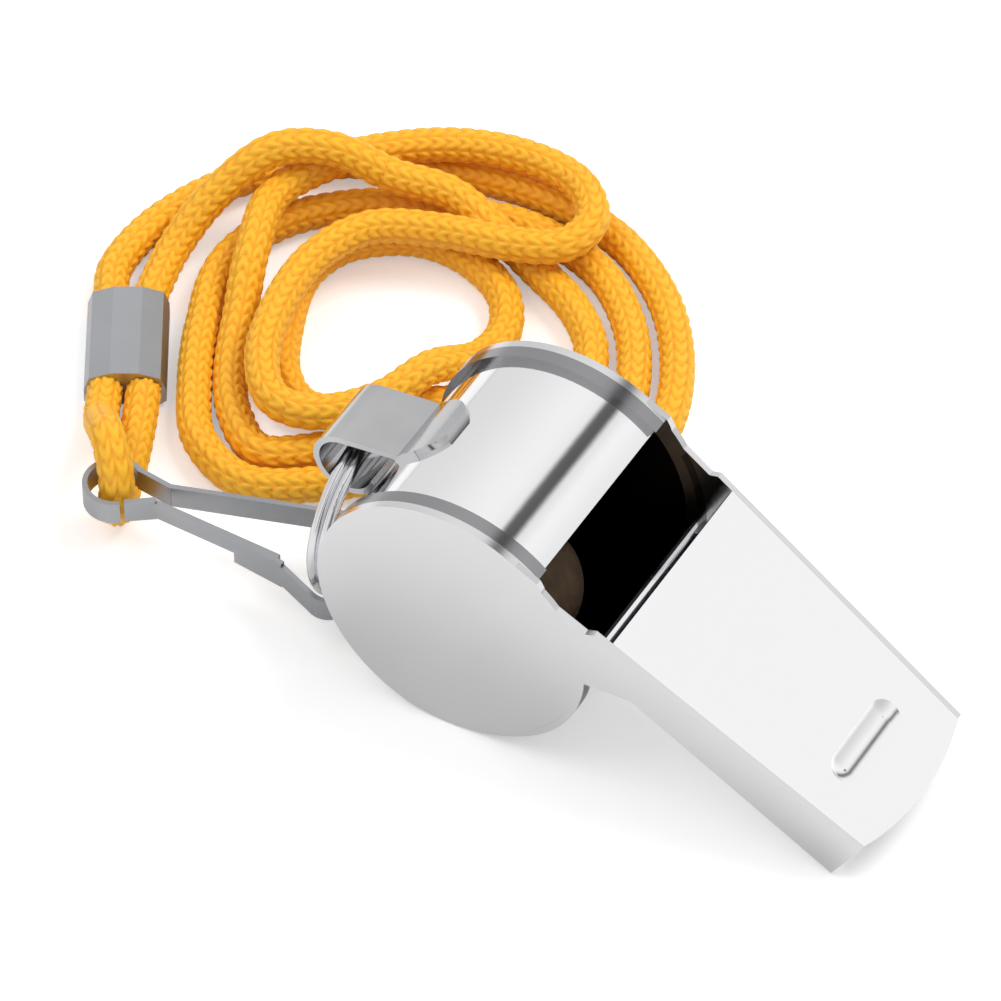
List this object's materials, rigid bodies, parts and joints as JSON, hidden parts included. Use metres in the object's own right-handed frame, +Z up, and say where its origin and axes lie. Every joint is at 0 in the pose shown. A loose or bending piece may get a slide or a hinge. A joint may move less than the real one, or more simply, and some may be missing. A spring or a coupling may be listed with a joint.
{
  "type": "pea whistle with lanyard",
  "caption": "Metal pea whistle with a round barrel and flat tapered mouthpiece, a loop tab, ring, snap hook, crimped sleeve and coiled braided neck cord.",
  "frame": {"origin": "on the surface that the whistle lies on, under the middle of the whistle and its ring, without the hook and cords", "axes": "+X towards the mouthpiece, +Y towards the side with the coil, +Z up"},
  "size_m": [0.0803, 0.0502, 0.022],
  "materials": {
    "side_steel": "polished",
    "band_chrome": "mirror polished",
    "top_steel": "polished",
    "inner_steel": "dull",
    "cork": "bare cork",
    "wire_steel": "polished",
    "hook_steel": "satin",
    "sleeve_steel": "satin",
    "braid": "braided polyester"
  },
  "bodies": {
    "whistle": {"side_near": "side_steel", "side_far": "side_steel", "barrel_band": "band_chrome", "top_plate": "top_steel", "windway_plate": "inner_steel", "loop_tab": "band_chrome"},
    "pea": {"pea": "cork"},
    "ring": {"split_ring": "wire_steel"},
    "lanyard": {"hook_frame": "hook_steel", "crimp_sleeve": "sleeve_steel", "neck_cord": "braid", "clip_cord": "braid"},
    "gate": {"hook_gate": "hook_steel"}
  },
  "joints": [
    {"name": "pea_orbit", "type": "hinge", "parent": "whistle", "child": "pea", "pos_m": [-0.00938, 0, 0.011], "axis": [0, 1, 0], "continuous": true},
    {"name": "ring_swing", "type": "hinge", "parent": "whistle", "child": "ring", "pos_m": [-0.02196, 0, 0.01485], "axis": [0, 1, 0], "range_deg": [0, 60]},
    {"name": "hook_swivel", "type": "hinge", "parent": "ring", "child": "lanyard", "pos_m": [-0.02196, -0.006, 0.0042], "axis": [0, 0, 1], "range_deg": [0, 10]},
    {"name": "gate_flex", "type": "hinge", "parent": "lanyard", "child": "gate", "pos_m": [-0.03698, -0.0056, 0.0042], "axis": [0, 0, 1], "range_deg": [0, 8], "stiffness_Nm_per_rad": 0.01}
  ]
}
